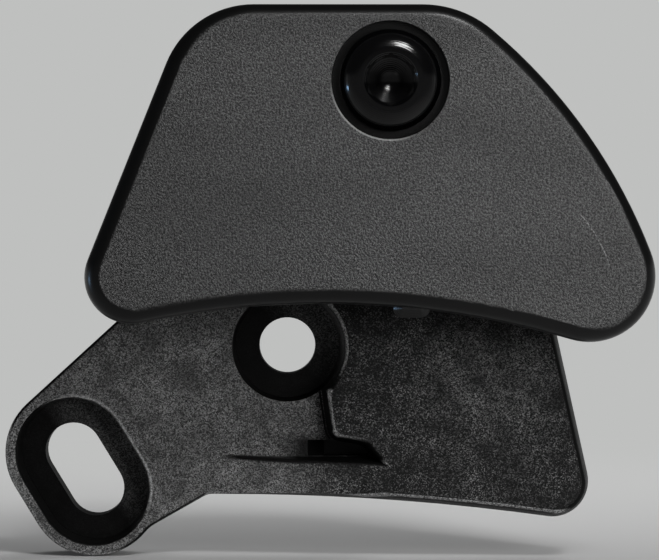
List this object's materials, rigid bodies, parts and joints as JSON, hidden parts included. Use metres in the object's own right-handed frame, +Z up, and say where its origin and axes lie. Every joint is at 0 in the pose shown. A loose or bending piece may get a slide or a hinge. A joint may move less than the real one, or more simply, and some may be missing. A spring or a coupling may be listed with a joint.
{
  "type": "bicycle chain guide",
  "caption": "Bicycle chain guide: a round-edged black nylon cover bolted over a moulded backplate, whose arm fixes to the frame by a pivot hole and an adjusting slot.",
  "frame": {"origin": "on the axis of the pivot hole, in the rear face that lies against the frame's guide mount", "axes": "+X forwards along the bicycle, +Z up, -Y outwards from the frame to the chain side"},
  "size_m": [0.0583, 0.0228, 0.0498],
  "materials": {
    "backplate_nylon": "black glass-filled nylon, as moulded, with a coarse grey speckle",
    "cover_nylon": "black nylon with a fine moulded grain",
    "black_steel": "gloss black oxide on turned steel",
    "brass": "turned brass"
  },
  "bodies": {
    "root": {"backplate": "backplate_nylon", "outer_cage": "cover_nylon", "cage_bolt": "black_steel", "threaded_insert": "brass"}
  },
  "joints": []
}
